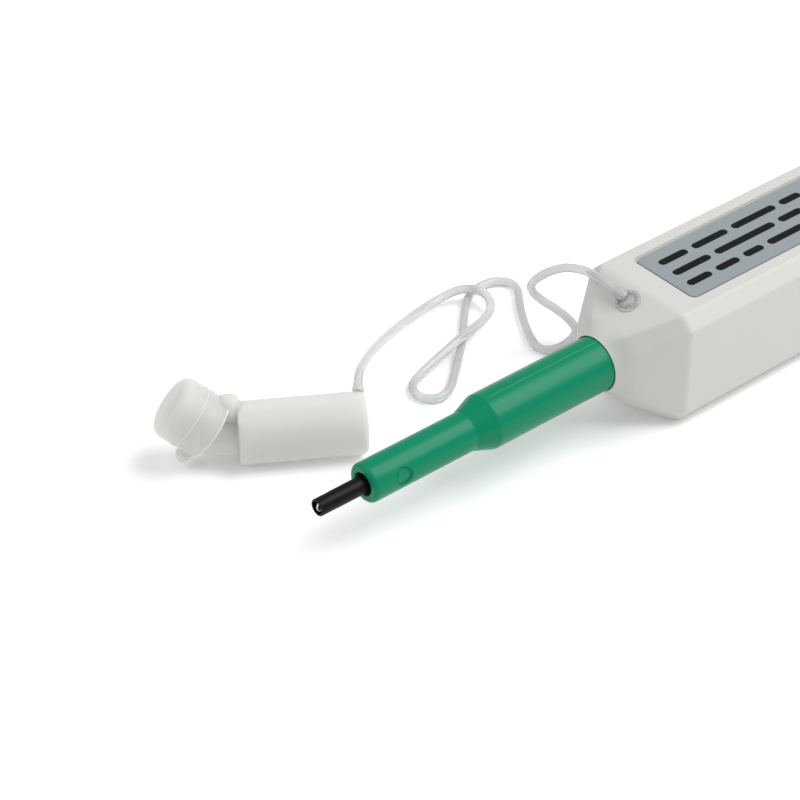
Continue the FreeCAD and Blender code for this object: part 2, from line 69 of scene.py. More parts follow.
NOSE_X = -40.3
CONE_X1 = -23.3
CONE_X2 = -20.1
WIDE_R = 3.93
NARROW_R = 2.79
TIP_R = 1.22
TIP_X = -47.7
CAP_R = 4.3
CAP_AT = (-35.7, 19.03, 4.32)
CAP_TURN = math.radians(-31.4)
CAP_ROLL = math.radians(-15.0)
LID_OPEN = math.radians(38.5)
MOUTH = 8.9
SHOULDER = -8.4
NECK_END = -13.4
NECK_R = 2.5
CAP_BORE = 2.84
NECK_BORE = 1.28
HINGE_X = -8.9
HINGE_Z = 5.05
TETHER_D = 1.25
PLUG_R = 1.8
SLOPE = math.atan2(HEIGHT - AXIS_Z - FRONT_HALF, FRONT_LEN)

# Points closer than this, in metres, are one point; edges that turn more than the crease angle stay sharp.
WELD = 1e-7
CREASE = math.radians(32.0)


# --------------------------------------------------------------------------
# places
# --------------------------------------------------------------------------
def in_frame(points):
    """Millimetres from the housing front, to metres in the frame: p -> (p + (front, 0, 0)) / 1000."""
    return (np.asarray(points, float) + np.array([FRONT_AT, 0.0, 0.0])) * 0.001


def turn_x(p, a):
    """Right-hand turn about X: (x, y cos a - z sin a, y sin a + z cos a)."""
    x, y, z = p[..., 0], p[..., 1], p[..., 2]
    return np.stack([x, y * math.cos(a) - z * math.sin(a), y * math.sin(a) + z * math.cos(a)], -1)


def turn_y(p, a):
    """Right-hand turn about Y: (x cos a + z sin a, y, -x sin a + z cos a)."""
    x, y, z = p[..., 0], p[..., 1], p[..., 2]
    return np.stack([x * math.cos(a) + z * math.sin(a), y, -x * math.sin(a) + z * math.cos(a)], -1)


def turn_z(p, a):
    """Right-hand turn about Z: (x cos a - y sin a, x sin a + y cos a, z)."""
    x, y, z = p[..., 0], p[..., 1], p[..., 2]
    return np.stack([x * math.cos(a) - y * math.sin(a), x * math.sin(a) + y * math.cos(a), z], -1)


def lay_cap(p):
    """Cap axes to pen axes: roll about the cap's own axis, turn on the table, move to where the cap lies."""
    return turn_z(turn_x(np.asarray(p, float), CAP_ROLL), CAP_TURN) + np.array(CAP_AT)


def open_lid(p):
    """Closed lid to open lid: a turn about the hinge line, which is parallel to Y through the hinge point."""
    pin = np.array([HINGE_X, 0.0, HINGE_Z])
    return turn_y(np.asarray(p, float) - pin, LID_OPEN) + pin


# --------------------------------------------------------------------------
# surfaces
# --------------------------------------------------------------------------
def grid_faces(nu, nv, loop_u, loop_v, start=0):
    """Quads of an nu by nv grid: (i, j), (i+1, j), (i+1, j+1), (i, j+1), wrapping where a side is a loop."""
    i = np.arange(nu if loop_u else nu - 1)
    j = np.arange(nv if loop_v else nv - 1)
    a, b = np.meshgrid(i, j, indexing="ij")
    a2, b2 = (a + 1) % nu, (b + 1) % nv
    quads = np.stack([a * nv + b, a2 * nv + b, a2 * nv + b2, a * nv + b2], -1).reshape(-1, 4)
    return quads + start


def mesh_piece(name, points, faces, body, material, wall=0.0, thin=None):
    """One object from points in metres and lists of corners; doubles merged, faces turned outwards.

    wall gives the surface a thickness in mm, inwards, and thin says what share of it each point gets. A piece
    whose body is "blend" is not attached to any body.
    """
    mesh = bpy.data.meshes.new(name)
    mesh.from_pydata(np.asarray(points, float).reshape(-1, 3).tolist(), [],
                     [list(map(int, f)) for f in faces])
    work = bmesh.new()
    work.from_mesh(mesh)
    bmesh.ops.remove_doubles(work, verts=work.verts, dist=WELD)
    bmesh.ops.dissolve_degenerate(work, edges=work.edges, dist=1e-8)
    bmesh.ops.recalc_face_normals(work, faces=work.faces)
    work.to_mesh(mesh)
    work.free()
    mesh.polygons.foreach_set("use_smooth", np.ones(len(mesh.polygons), bool))
    mesh.set_sharp_from_angle(angle=CREASE)
    mesh.update()
    piece = bpy.data.objects.new(name, mesh)
    bpy.context.collection.objects.link(piece)
    if wall:
        solid = piece.modifiers.new("wall", "SOLIDIFY")
        solid.thickness = wall * 0.001
        solid.offset = -1.0
        solid.use_rim = True
        if thin is not None:
            group = piece.vertex_groups.new(name="wall")
            co = np.zeros(len(mesh.vertices) * 3)
            mesh.vertices.foreach_get("co", co)
            for i, share in enumerate(thin(co.reshape(-1, 3) * 1000.0 - np.array([FRONT_AT, 0.0, 0.0]))):
                group.add([i], float(share), "REPLACE")
            solid.vertex_group = "wall"
    mesh.materials.append(material)
    if body != "blend":
        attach(piece, body)
    return piece


def fillet(p, before, after, r, steps):
    """Arc in place of the corner p, and its tangent length.

    The arc starts a tangent length t = r tan(turn / 2) before the corner and ends t after it. Its points are
    c + first cos s + u r sin s as s runs through the turn, where c is its centre, first reaches from c to the
    arc's start, and u is the direction in.
    """
    u = (p - before) / np.linalg.norm(p - before)
    w = (after - p) / np.linalg.norm(after - p)
    turn = math.acos(max(-1.0, min(1.0, float(u @ w))))
    t = r * math.tan(turn / 2.0)
    bis = (w - u) / np.linalg.norm(w - u)
    centre = p + bis * (r / math.cos(turn / 2.0))
    first = p - u * t - centre
    return [centre + first * math.cos(s) + u * r * math.sin(s) for s in np.linspace(0.0, turn, steps)], t


def rounded(corners, radii, closed, steps):
    """A line whose corners are replaced by arcs of the given radii; a radius of 0 keeps its corner."""
    pts = [np.array(p, float) for p in corners]
    n = len(pts)
    out = []
    for i, p in enumerate(pts):
        r = radii[i]
        if r <= 0 or (not closed and i in (0, n - 1)):
            out.append(p)
        else:
            out += fillet(p, pts[i - 1], pts[(i + 1) % n], r, steps)[0]
    return np.array(out)


def supported(profile, closed):
    """The profile with a point 0.12 mm inside each end of its long sides, which keeps them flat."""
    out = []
    n = len(profile)
    for k, a in enumerate(profile):
        b = profile[(k + 1) % n]
        out.append(a)
        d = np.linalg.norm(b - a)
        if d > 1.2 and (closed or k < n - 1):
            w = (b - a) / d
            out += [a + w * 0.12, b - w * 0.12]
    return np.array(out)


def axis_pair(axis):
    """Two unit vectors square to an axis and to each other."""
    a = np.asarray(axis, float)
    a = a / np.linalg.norm(a)
    other = np.array([0.0, 0.0, 1.0]) if abs(a[2]) < 0.9 else np.array([0.0, 1.0, 0.0])
    u = np.cross(other, a)
    u = u / np.linalg.norm(u)
    return a, u, np.cross(a, u)


def turned_grid(profile, origin, axis, angles, bump=None):
    """Surface of revolution: origin + axis t + (u cos q + v sin q)(r + bump(t, q)) for each (t, r) and q."""
    a, u, v = axis_pair(axis)
    t = profile[:, 0][:, None]
    r = profile[:, 1][:, None]
    q = angles[None, :]
    rr = r + (bump(t, q) if bump else 0.0) + 0.0 * q
    ring = u * np.cos(q)[..., None] + v * np.sin(q)[..., None]
    return np.asarray(origin, float) + a * (t + 0.0 * q)[..., None] + ring * rr[..., None]


def full_circle(n):
    """n equal steps round a circle, from 0."""
    return np.linspace(0.0, 2.0 * math.pi, n, endpoint=False)


def tube_grid(path, radius, up, sides):
    """A profile carried along a path: p(s) + r(s)(n cos q + b sin q), with b = unit(t x up) and n = b x t."""
    p = np.asarray(path, float)
    t = np.gradient(p, axis=0)
    t = t / np.linalg.norm(t, axis=1)[:, None]
    b = np.cross(t, np.asarray(up, float)[None, :])
    b = b / np.linalg.norm(b, axis=1)[:, None]
    n = np.cross(b, t)
    q = full_circle(sides)
    r = np.broadcast_to(np.asarray(radius, float), (len(p),))[:, None, None]
    return p[:, None, :] + r * (n[:, None, :] * np.cos(q)[None, :, None]
                                + b[:, None, :] * np.sin(q)[None, :, None])


def closed_ends(grid):
    """A tube grid with its two end rings drawn to their centres, so that the ends are shut."""
    first = np.repeat(grid[:1].mean(axis=1, keepdims=True), grid.shape[1], axis=1)
    last = np.repeat(grid[-1:].mean(axis=1, keepdims=True), grid.shape[1], axis=1)
    return np.concatenate([first, grid, last], axis=0)


# --------------------------------------------------------------------------
# shader groups
# --------------------------------------------------------------------------
def new_group(name, inputs, outputs):
    """An empty shader group with float or vector sockets."""
    group = bpy.data.node_groups.new(name, "ShaderNodeTree")
    for label, kind, value in inputs:
        socket = group.interface.new_socket(name=label, in_out="INPUT", socket_type=kind)
        if value is not None:
            socket.default_value = value
    for label, kind in outputs:
        group.interface.new_socket(name=label, in_out="OUTPUT", socket_type=kind)
    enter = group.nodes.new("NodeGroupInput")
    leave = group.nodes.new("NodeGroupOutput")
    return group, enter, leave


def math_node(tree, op, a, b=None, c=None):
    """One arithmetic step; each of a, b and c is a number or the socket it comes from."""
    node = tree.nodes.new("ShaderNodeMath")
    node.operation = op
    for i, value in enumerate((a, b, c)):
        if value is None:
            continue
        if isinstance(value, (int, float)):
            node.inputs[i].default_value = value
        else:
            tree.links.new(value, node.inputs[i])
    return node.outputs[0]


def noise(tree, vector, scale, detail, rough):
    """Noise of the given detail and roughness; the scale is a number or the socket it comes from."""
    node = tree.nodes.new("ShaderNodeTexNoise")
    node.inputs["Detail"].default_value = detail
    node.inputs["Roughness"].default_value = rough
    if isinstance(scale, (int, float)):
        node.inputs["Scale"].default_value = scale
    else:
        tree.links.new(scale, node.inputs["Scale"])
    tree.links.new(vector, node.inputs["Vector"])
    return node.outputs["Fac"]


def moulded_skin_group():
    """Moulded plastic: a fine spark-eroded grain, slow sink marks and a little handling haze.

    height = grain + 0.4 x fine grain; haze and flow are slower noises, centred on 0.5.
    """
    f = "NodeSocketFloat"
    group, enter, leave = new_group(
        "moulded_skin",
        [("Position", "NodeSocketVector", None), ("Grain Scale", f, 2500.0), ("Haze Scale", f, 60.0)],
        [("Height", f), ("Haze", f), ("Flow", f)])
    pos = enter.outputs["Position"]
    grain = noise(group, pos, enter.outputs["Grain Scale"], 2.0, 0.6)
    fine_scale = math_node(group, "MULTIPLY", enter.outputs["Grain Scale"], 2.7)
    fine = noise(group, pos, fine_scale, 1.0, 0.5)
    height = math_node(group, "MULTIPLY_ADD", fine, 0.4, grain)
    haze = noise(group, pos, enter.outputs["Haze Scale"], 4.0, 0.55)
    flow_scale = math_node(group, "MULTIPLY", enter.outputs["Haze Scale"], 0.35)
    flow = noise(group, pos, flow_scale, 2.0, 0.5)
    group.links.new(height, leave.inputs["Height"])
    group.links.new(haze, leave.inputs["Haze"])
    group.links.new(flow, leave.inputs["Flow"])
    return group


def tint_group():
    """Two colours mixed: low + (high - low) x mask, the mask stretched about 0.5 by the contrast."""
    f = "NodeSocketFloat"
    c = "NodeSocketColor"
    group, enter, leave = new_group(
        "tint", [("Mask", f, 0.5), ("Contrast", f, 1.0), ("Low", c, None), ("High", c, None)],
        [("Colour", c)])
    centred = math_node(group, "SUBTRACT", enter.outputs["Mask"], 0.5)
    pulled = math_node(group, "MULTIPLY_ADD", centred, enter.outputs["Contrast"], 0.5)
    pulled.node.use_clamp = True
    mix = group.nodes.new("ShaderNodeMix")
    mix.data_type = "RGBA"
    group.links.new(pulled, mix.inputs["Factor"])
    group.links.new(enter.outputs["Low"], mix.inputs["A"])
    group.links.new(enter.outputs["High"], mix.inputs["B"])
    group.links.new(mix.outputs["Result"], leave.inputs["Colour"])
    return group


SKIN = moulded_skin_group()
TINT = tint_group()


def plastic(name, low, high, rough, grain=0.02, grain_scale=2500.0, haze=0.08, haze_scale=60.0, contrast=2.0,
            distance=0.00004, **settings):
    """A moulded plastic: tinted by slow noise, roughness varied by haze, with a fine grain in the normal."""
    mat = bpy.data.materials.new(name)
    mat.use_nodes = True
    tree = mat.node_tree
    shader = tree.nodes["Principled BSDF"]
    coords = tree.nodes.new("ShaderNodeTexCoord")
    skin = tree.nodes.new("ShaderNodeGroup")
    skin.node_tree = SKIN
    skin.inputs["Grain Scale"].default_value = grain_scale
    skin.inputs["Haze Scale"].default_value = haze_scale
    tree.links.new(coords.outputs["Object"], skin.inputs["Position"])
    tint = tree.nodes.new("ShaderNodeGroup")
    tint.node_tree = TINT
    tint.inputs["Contrast"].default_value = contrast
    tint.inputs["Low"].default_value = (*low, 1.0)
    tint.inputs["High"].default_value = (*high, 1.0)
    tree.links.new(skin.outputs["Flow"], tint.inputs["Mask"])
    tree.links.new(tint.outputs["Colour"], shader.inputs["Base Color"])
    spread = math_node(tree, "MULTIPLY_ADD", skin.outputs["Haze"], haze * 2.0, rough - haze)
    tree.links.new(spread, shader.inputs["Roughness"])
    bump = tree.nodes.new("ShaderNodeBump")
    bump.inputs["Strength"].default_value = grain
    bump.inputs["Distance"].default_value = distance
    tree.links.new(skin.outputs["Height"], bump.inputs["Height"])
    tree.links.new(bump.outputs["Normal"], shader.inputs["Normal"])
    for key, value in settings.items():
        shader.inputs[key.replace("_", " ")].default_value = value
    return mat


def wound_thread(name, direction, scale):
    """Wound or twisted thread: fine ridges from a wave along one axis, broken up by noise."""
    mat = plastic(name, (0.74, 0.74, 0.71), (0.86, 0.86, 0.84), 0.75, 0.0)
    tree = mat.node_tree
    shader = tree.nodes["Principled BSDF"]
    coords = tree.nodes["Texture Coordinate"]
    wave = tree.nodes.new("ShaderNodeTexWave")
    wave.wave_type = "BANDS"
    wave.bands_direction = direction
    wave.inputs["Scale"].default_value = scale
    wave.inputs["Distortion"].default_value = 1.5
    wave.inputs["Detail"].default_value = 2.0
    tree.links.new(coords.outputs["Object"], wave.inputs["Vector"])
    bump = tree.nodes.new("ShaderNodeBump")
    bump.inputs["Strength"].default_value = 0.6
    bump.inputs["Distance"].default_value = 0.00008
    tree.links.new(wave.outputs["Fac"], bump.inputs["Height"])
    tree.links.new(bump.outputs["Normal"], shader.inputs["Normal"])
    return mat


def drawn_wire(name, low, high):
    """Bright drawn or plated steel, its roughness varied by a fine haze."""
    return plastic(name, low, high, 0.32, 0.05, 1800.0, 0.12, 400.0, 1.5, Metallic=1.0)


SHELL = plastic("shell_white", (0.552, 0.556, 0.532), (0.576, 0.580, 0.556), 0.46, 0.10, 2600.0, 0.05, 45.0,
                1.6, 0.00003, Specular_IOR_Level=0.42)
LABEL = plastic("label_grey", (0.243, 0.277, 0.292), (0.266, 0.301, 0.317), 0.42, 0.05, 3400.0, 0.06, 90.0,
                1.5, 0.00002, Specular_IOR_Level=0.45)
INK = plastic("label_ink", (0.003, 0.003, 0.003), (0.006, 0.006, 0.006), 0.45, 0.04, 3400.0, 0.06, 200.0,
              Specular_IOR_Level=0.15)
GREEN = plastic("nozzle_green", (0.001, 0.200, 0.096), (0.001, 0.223, 0.110), 0.30, 0.05, 2400.0, 0.06,
                80.0, 1.6, 0.00003, Specular_IOR_Level=0.16)
BLACK = plastic("tip_black", (0.003, 0.003, 0.003), (0.006, 0.006, 0.006), 0.36, 0.06, 3200.0, 0.08, 200.0,
                Specular_IOR_Level=0.12)
# Near black rather than the core's grey finish: painted shade inside the tip's hollow mouth.
TIP_CORE_PAINTED_SHADE = plastic("tip_core_painted_shade", (0.006, 0.006, 0.007), (0.012, 0.012, 0.013), 0.6, 0.1, 4000.0)
CAP = plastic("cap_milky", (0.71, 0.71, 0.682), (0.75, 0.75, 0.722), 0.5, 0.05, 2200.0, 0.06, 120.0, 1.6,
              0.00003, Alpha=0.70, Specular_IOR_Level=0.3, Subsurface_Weight=0.6,
              Subsurface_Radius=(1.0, 1.0, 1.0), Subsurface_Scale=0.003)
# A lighter, glossier copy of the cap plastic: painted highlight along the lid's rim and over its inner step.
CAP_EDGE_HIGHLIGHT = plastic("cap_edge_highlight", (0.82, 0.82, 0.795), (0.86, 0.86, 0.835), 0.5, 0.05, 2200.0, 0.06, 120.0, 1.6,
                   0.00003, Alpha=0.72, Specular_IOR_Level=0.4)
CLEAR = plastic("tether_clear", (0.73, 0.74, 0.735), (0.80, 0.81, 0.805), 0.13, 0.02, 2400.0, 0.04, 300.0,
                1.5, 0.00002, Transmission_Weight=0.58, IOR=1.41)
GLOSS = plastic("plug_clear", (0.92, 0.93, 0.925), (0.96, 0.97, 0.965), 0.05, 0.01, 2400.0, 0.03, 300.0, 1.5,
                0.00002, Transmission_Weight=0.86, IOR=1.45)
INNER = plastic("inner_acetal", (0.60, 0.60, 0.58), (0.66, 0.66, 0.64), 0.45, 0.06, 2600.0)
STEEL = drawn_wire("plated_steel", (0.50, 0.50, 0.51), (0.60, 0.60, 0.61))
THREAD = wound_thread("wound_thread", "Y", 900.0)
TIP_THREAD = wound_thread("twisted_thread", "X", 1600.0)


# --------------------------------------------------------------------------
# housing
# --------------------------------------------------------------------------
TOP_RUN = np.concatenate([
    np.linspace(-0.98, -0.87, 3), np.linspace(-0.862, -0.80, 12), np.linspace(-0.78, -0.62, 9),
    np.linspace(-0.5, 0.5, 7),
    np.linspace(0.62, 0.78, 9), np.linspace(0.80, 0.862, 12), np.linspace(0.87, 0.98, 3)])


def section_at(x):
    """Half width, bottom, top and corner cut of the housing at x.

    Straight from the front face to the full section, eased over 0.5 mm either side of the edge between them
    by taking away m (x - x0 + w)^2 / 4w.
    """
    w = 0.5
    x = np.asarray(x, float)

    def eased(a, b):
        """From a at the front face to b at the full section."""
        m = (b - a) / FRONT_LEN
        line = a + m * np.minimum(x, FRONT_LEN)
        d = np.clip(x - FRONT_LEN + w, 0.0, 2.0 * w)
        near = (x > FRONT_LEN - w) & (x < FRONT_LEN + w)
        inside = a + m * x - m * d * d / (4.0 * w)
        return np.where(near, inside, line)

    return (eased(FRONT_HALF, HALF_W), eased(AXIS_Z - FRONT_HALF, 0.0), eased(AXIS_Z + FRONT_HALF, HEIGHT),
            eased(FRONT_CHAMFER, CHAMFER))


def ring(half, z1, z2, cut, r):
    """One cross-section, from the lower right corner over the top to the lower left and back under.

    Straight sides with eight rounded corners; the top side is divided by TOP_RUN, and each side has a
    support point close to its corners so that flat faces stay flat.
    """
    corners = np.array([
        (half, z1 + cut), (half, z2 - cut), (half - cut, z2), (cut - half, z2),
        (-half, z2 - cut), (-half, z1 + cut), (cut - half, z1), (half - cut, z1)])
    n = len(corners)
    out = []
    for i, p in enumerate(corners):
        after = corners[(i + 1) % n]
        arc, t = fillet(p, corners[i - 1], after, r, 6)
        out += arc
        w = (after - p) / np.linalg.norm(after - p)
        start = p + w * t
        end = after - w * t
        run = np.linalg.norm(end - start)
        edge = min(0.22, run * 0.2)
        if i == 2:
            mid = (start + end) / 2.0
            reach = run / 2.0 - edge
            side = [start + w * edge] + [mid + w * reach * k for k in TOP_RUN] + [end - w * edge]
        else:
            side = ([start + w * edge] + [start + (end - start) * k for k in (0.3, 0.5, 0.7)]
                    + [end - w * edge])
        out += side
    return np.array(out)


def towards_hole(x, yz):
    """Front sections drawn to a widening circle: circle + (section - circle) smoothstep(x / 2.2).

    The circle starts just wider than the hole.
    """
    q = np.arctan2(yz[..., 1] - AXIS_Z, yz[..., 0])
    r = HOLE_R + 0.07 + 0.62 * x[:, None]
    circle = np.stack([r * np.cos(q), AXIS_Z + r * np.sin(q)], -1)
    w = np.clip(x / 2.2, 0.0, 1.0)
    w = (w * w * (3.0 - 2.0 * w))[:, None, None]
    return circle + (yz - circle) * w


def label_well(x, y, z):
    """Depth of the label's recess: smoothstep of the signed distance to a rectangle with rounded corners."""
    cx = (LABEL_X1 + LABEL_X2) / 2.0
    hx = (LABEL_X2 - LABEL_X1) / 2.0 + 0.42
    hy = LABEL_HALF + 0.42
    r = 1.1
    qx = np.abs(x - cx) - hx + r
    qy = np.abs(y) - hy + r
    d = np.hypot(np.maximum(qx, 0.0), np.maximum(qy, 0.0)) + np.minimum(np.maximum(qx, qy), 0.0) - r
    s = np.clip(-d / 0.24, 0.0, 1.0)
    s = s * s * (3.0 - 2.0 * s)
    return np.where(z > HEIGHT - 0.3, s * LABEL_DEEP, 0.0)


def housing_shell():
    """Outer skin of the front and upper shell: sections carried along the pen from the hole to the back.

    The nozzle hole's rings run from a circle into the small front section. Behind the lower shell's front end
    the section is open along the parting line. A wall is then given to it inwards.
    """
    xs = np.concatenate([
        np.linspace(0.0, 2.2, 12), np.linspace(2.8, 7.4, 9), np.linspace(7.5, 8.5, 11), [8.75, 10.2],
        np.linspace(11.6, 13.4, 23), np.linspace(14.5, 110.5, 25), np.linspace(110.9, 112.7, 23),
        [114.0, 117.0, 120.0, 123.0, SHELL_LEN - 0.3, SHELL_LEN - 0.12, SHELL_LEN - 0.03]])
    half, z1, z2, cut = section_at(xs)
    corner_r = np.interp(xs, [0.0, 2.0, 7.5, 9.0], [1.3, 1.0, 0.6, 0.55])
    shrink = np.zeros_like(xs)
    shrink[-2] = 0.06
    shrink[-1] = 0.2
    rings = []
    for k in range(len(xs)):
        s = shrink[k]
        rings.append(ring(half[k] - s, z1[k] + s, z2[k] - s, cut[k], corner_r[k]))
    yz = towards_hole(xs, np.array(rings))
    first = yz[0]
    q = np.arctan2(first[:, 1] - AXIS_Z, first[:, 0])
    mouth_x = np.array([1.6, 0.3, 0.05, 0.0])
    mouth_r = np.array([HOLE_R, HOLE_R, HOLE_R, HOLE_R + 0.04])
    mouth = np.stack([mouth_r[:, None] * np.cos(q), AXIS_Z + mouth_r[:, None] * np.sin(q)], -1)
    all_yz = np.concatenate([mouth, yz])
    all_x = np.concatenate([mouth_x, xs])
    x = np.broadcast_to(all_x[:, None], all_yz.shape[:2])
    y, z = all_yz[..., 0], all_yz[..., 1]
    depth = label_well(x, y, z)
    p = np.stack([x, y, z - depth], -1)
    nu, nv = p.shape[:2]
    faces = grid_faces(nu, nv, False, True)
    centre = p.reshape(-1, 3)[faces].mean(axis=1)
    keep = (centre[:, 0] < LOWER_AT) | (centre[:, 2] > 1.95)
    points = in_frame(p)
    return points, faces[keep]


def wall_share(p):
    """Share of the full wall, min(1, max(0.04, x / 5)), and 0.04 along the hole's own wall."""
    r = np.hypot(p[:, 1], p[:, 2] - AXIS_Z)
    return np.where((r < HOLE_R + 0.06) & (p[:, 0] < 2.0), 0.04, np.clip(p[:, 0] / 5.0, 0.04, 1.0))


points, faces = housing_shell()
shell = mesh_piece("housing_shell", points, faces, "housing", SHELL, wall=1.1, thin=wall_share)
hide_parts("housing_upper")


def rear_cover():
    """The plug that shuts the housing's back: full section, a rounded bevel and a slightly dished end.

    The bevel is a quarter circle over the last 1.2 mm: inset = 1.2 (1 - sqrt(1 - t^2)), where t runs from 0
    to 1. The end face is the last ring drawn to its middle.
    """
    base = SHELL_LEN
    s = np.linspace(0.0, 1.0, 9)
    xs = np.concatenate([[base - 3.0, base + 0.02, base + 0.03, base + 0.10, base + 0.4, LENGTH - 1.3],
                         LENGTH - 1.2 + 1.2 * np.sin(s * math.pi / 2.0)])
    inset = np.concatenate([[0.3, 0.3, 0.18, 0.05, 0.0, 0.0], 1.2 * (1.0 - np.cos(s * math.pi / 2.0))])
    rings = [ring(HALF_W - i, i, HEIGHT - i, CHAMFER, 0.55) for i in inset]
    rings = np.array(rings)
    grid = np.concatenate([np.broadcast_to(xs[:, None, None], rings.shape[:2] + (1,)), rings], -1)
    mid = np.array([0.0, 0.0, HEIGHT / 2.0])
    last = grid[-1]
    shrunk = [mid + (last - mid) * np.array([1.0, k, k]) - np.array([d, 0.0, 0.0])
              for k, d in ((0.93, 0.02), (0.86, 0.12), (0.5, 0.15), (0.0, 0.15))]
    shrunk = np.array(shrunk)
    shrunk[-1][:, 0] = LENGTH - 0.15
    front = mid + (grid[:1] - mid) * np.array([1.0, 0.0, 0.0])
    return np.concatenate([front, grid, shrunk])


grid = rear_cover()
cover = mesh_piece("rear_cover", in_frame(grid), grid_faces(*grid.shape[:2], False, True),
                   "housing", SHELL)
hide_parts("rear_plug")


# --------------------------------------------------------------------------
# label
# --------------------------------------------------------------------------
def rounded_plate(x1, x2, half, z1, z2, r, lip):
    """A flat plate with round corners: its outline at each height, shrunk at the top by an eased lip."""
    corners = [(x1, -half), (x2, -half), (x2, half), (x1, half)]
    heights = [z1, z2 - lip, z2 - 0.3 * lip, z2, z2]
    insets = [0.0, 0.0, 0.3 * lip, lip, lip + 0.2]
    rows = []
    for z, i in zip(heights, insets):
        c = [(x + (i if x == x1 else -i), y + (i if y < 0 else -i)) for x, y in corners]
        line = rounded(c, [max(r - i, 0.05)] * 4, True, 9)
        rows.append(np.column_stack([line, np.full(len(line), z)]))
    return np.array(rows)


def plate_faces(nu, nv):
    """Side quads of a stack of outlines, with the first and the last outline filled."""
    faces = [list(f) for f in grid_faces(nu, nv, False, True)]
    faces.append(list(range(nv))[::-1])
    faces.append(list(range((nu - 1) * nv, nu * nv)))
    return faces


grid = rounded_plate(LABEL_X1, LABEL_X2, LABEL_HALF, HEIGHT - LABEL_DEEP, HEIGHT - 0.15, 0.8, 0.05)
label = mesh_piece("label_plate", in_frame(grid), plate_faces(*grid.shape[:2]), "housing",
                   LABEL)
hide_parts("label_panel")

# Plain dashes in three rows stand where a label would carry its print.
DASH_ROWS = [
    (2.95, 14.3, (5.2, 6.6, 8.4, 4.0, 7.4, 6.0, 9.0, 5.0, 7.0, 6.4)),
    (0.0, 14.1, (6.9, 11.4, 4.6, 7.8, 5.6, 8.8, 4.4, 6.6, 7.6)),
    (-2.95, 13.9, (4.4, 4.2, 3.6, 7.2, 5.0, 8.0, 6.2, 4.8, 9.2, 5.4)),
]


def dashes():
    """Stadium-shaped dashes: half circles of radius r joined by straight sides, 0.03 mm thick."""
    q = np.linspace(-math.pi / 2.0, math.pi / 2.0, 7)
    r = 0.62
    outline = np.concatenate([np.column_stack([r * np.cos(q), r * np.sin(q)]),
                              np.column_stack([-r * np.cos(q), -r * np.sin(q)])])
    side = np.concatenate([np.ones(7), -np.ones(7)])
    starts, lengths, rows = [], [], []
    for y, x, words in DASH_ROWS:
        ends = np.cumsum(np.array(words) + 1.1)
        starts += list(x + ends - np.array(words) - 1.1)
        lengths += list(words)
        rows += [y] * len(words)
    starts, lengths, rows = np.array(starts), np.array(lengths), np.array(rows)
    mid = starts + lengths / 2.0
    n = len(starts)
    x = mid[:, None] + outline[None, :, 0] + side[None, :] * (lengths[:, None] / 2.0 - r)
    y = rows[:, None] + outline[None, :, 1]
    z = np.array([HEIGHT - 0.17, HEIGHT - 0.138])
    p = np.stack([np.broadcast_to(x[:, None, :], (n, 2, 14)), np.broadcast_to(y[:, None, :], (n, 2, 14)),
                  np.broadcast_to(z[None, :, None], (n, 2, 14))], -1)
    faces = []
    for k in range(n):
        faces += [[v + 28 * k for v in f] for f in plate_faces(2, 14)]
    return p, faces


points, faces = dashes()
mesh_piece("label_dashes", in_frame(points), faces, "housing", INK)


# --------------------------------------------------------------------------
# nozzle and tip
# --------------------------------------------------------------------------
BUTTON_X = NOSE_X + 4.7
BUTTON_Q = math.pi - math.radians(10.0)
MOULD_Q = 1.63


def nozzle():
    """Green sleeve: a closed profile turned about the nozzle axis, with a mould line and a round snap recess.

    The line's height is 0.07 exp(-((q - q0) / 0.022)^2) along the wide part. The recess is a dish in the
    narrow part, -0.30 smoothstep((1.45 - rho) / 0.2), where rho is the distance from its centre over the
    surface.
    """
    outer = [(NOSE_X, 1.62), (NOSE_X, NARROW_R), (CONE_X1, NARROW_R), (CONE_X2, WIDE_R), (14.0, WIDE_R)]
    inner = [(14.0, 2.9), (CONE_X2 - 0.4, 2.9), (CONE_X1 - 0.6, 1.95), (NOSE_X + 4.0, 1.95),
             (NOSE_X + 4.0, 1.62)]
    radii = [0.18, 0.62, 0.7, 0.9, 0.3, 0.0, 0.0, 0.0, 0.0, 0.0]
    profile = rounded(outer + inner, radii, True, 9)
    ridge_x = CONE_X2 + 1.0
    for x, r, stations in ((BUTTON_X, NARROW_R, np.arange(BUTTON_X - 1.65, BUTTON_X + 1.66, 0.075)),
                           (ridge_x, WIDE_R, np.linspace(ridge_x, 12.9, 24))):
        after = int(np.flatnonzero((profile[:, 0] < x) & (profile[:, 1] > r - 0.01))[-1]) + 1
        profile = np.insert(profile, after, np.column_stack([stations, np.full(len(stations), r)]), axis=0)
    angles = np.unique(np.concatenate([full_circle(120), MOULD_Q + np.linspace(-0.06, 0.06, 17),
                                       BUTTON_Q + np.arange(-0.594, 0.595, 0.027)]).round(6))

    def relief(t, q):
        """Height of the mould line less the depth of the recess."""
        on_wide = (t > CONE_X2 + 0.8) & (t < 13.0) & (profile[:, 1][:, None] > 3.5)
        ridge = np.where(on_wide, 0.07 * np.exp(-((q - MOULD_Q) / 0.022) ** 2), 0.0)
        rho = np.hypot(t - BUTTON_X, (q - BUTTON_Q) * NARROW_R)
        dish = np.clip((1.45 - rho) / 0.2, 0.0, 1.0)
        dish = dish * dish * (3.0 - 2.0 * dish)
        return ridge - np.where(profile[:, 1][:, None] > 2.6, 0.30 * dish, 0.0)

    return turned_grid(profile, (0.0, 0.0, AXIS_Z), (1.0, 0.0, 0.0), angles, relief)


grid = nozzle()
sleeve = mesh_piece("nozzle", in_frame(grid), grid_faces(*grid.shape[:2], True, True),
                    "carriage", GREEN)
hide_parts("nozzle_sleeve")


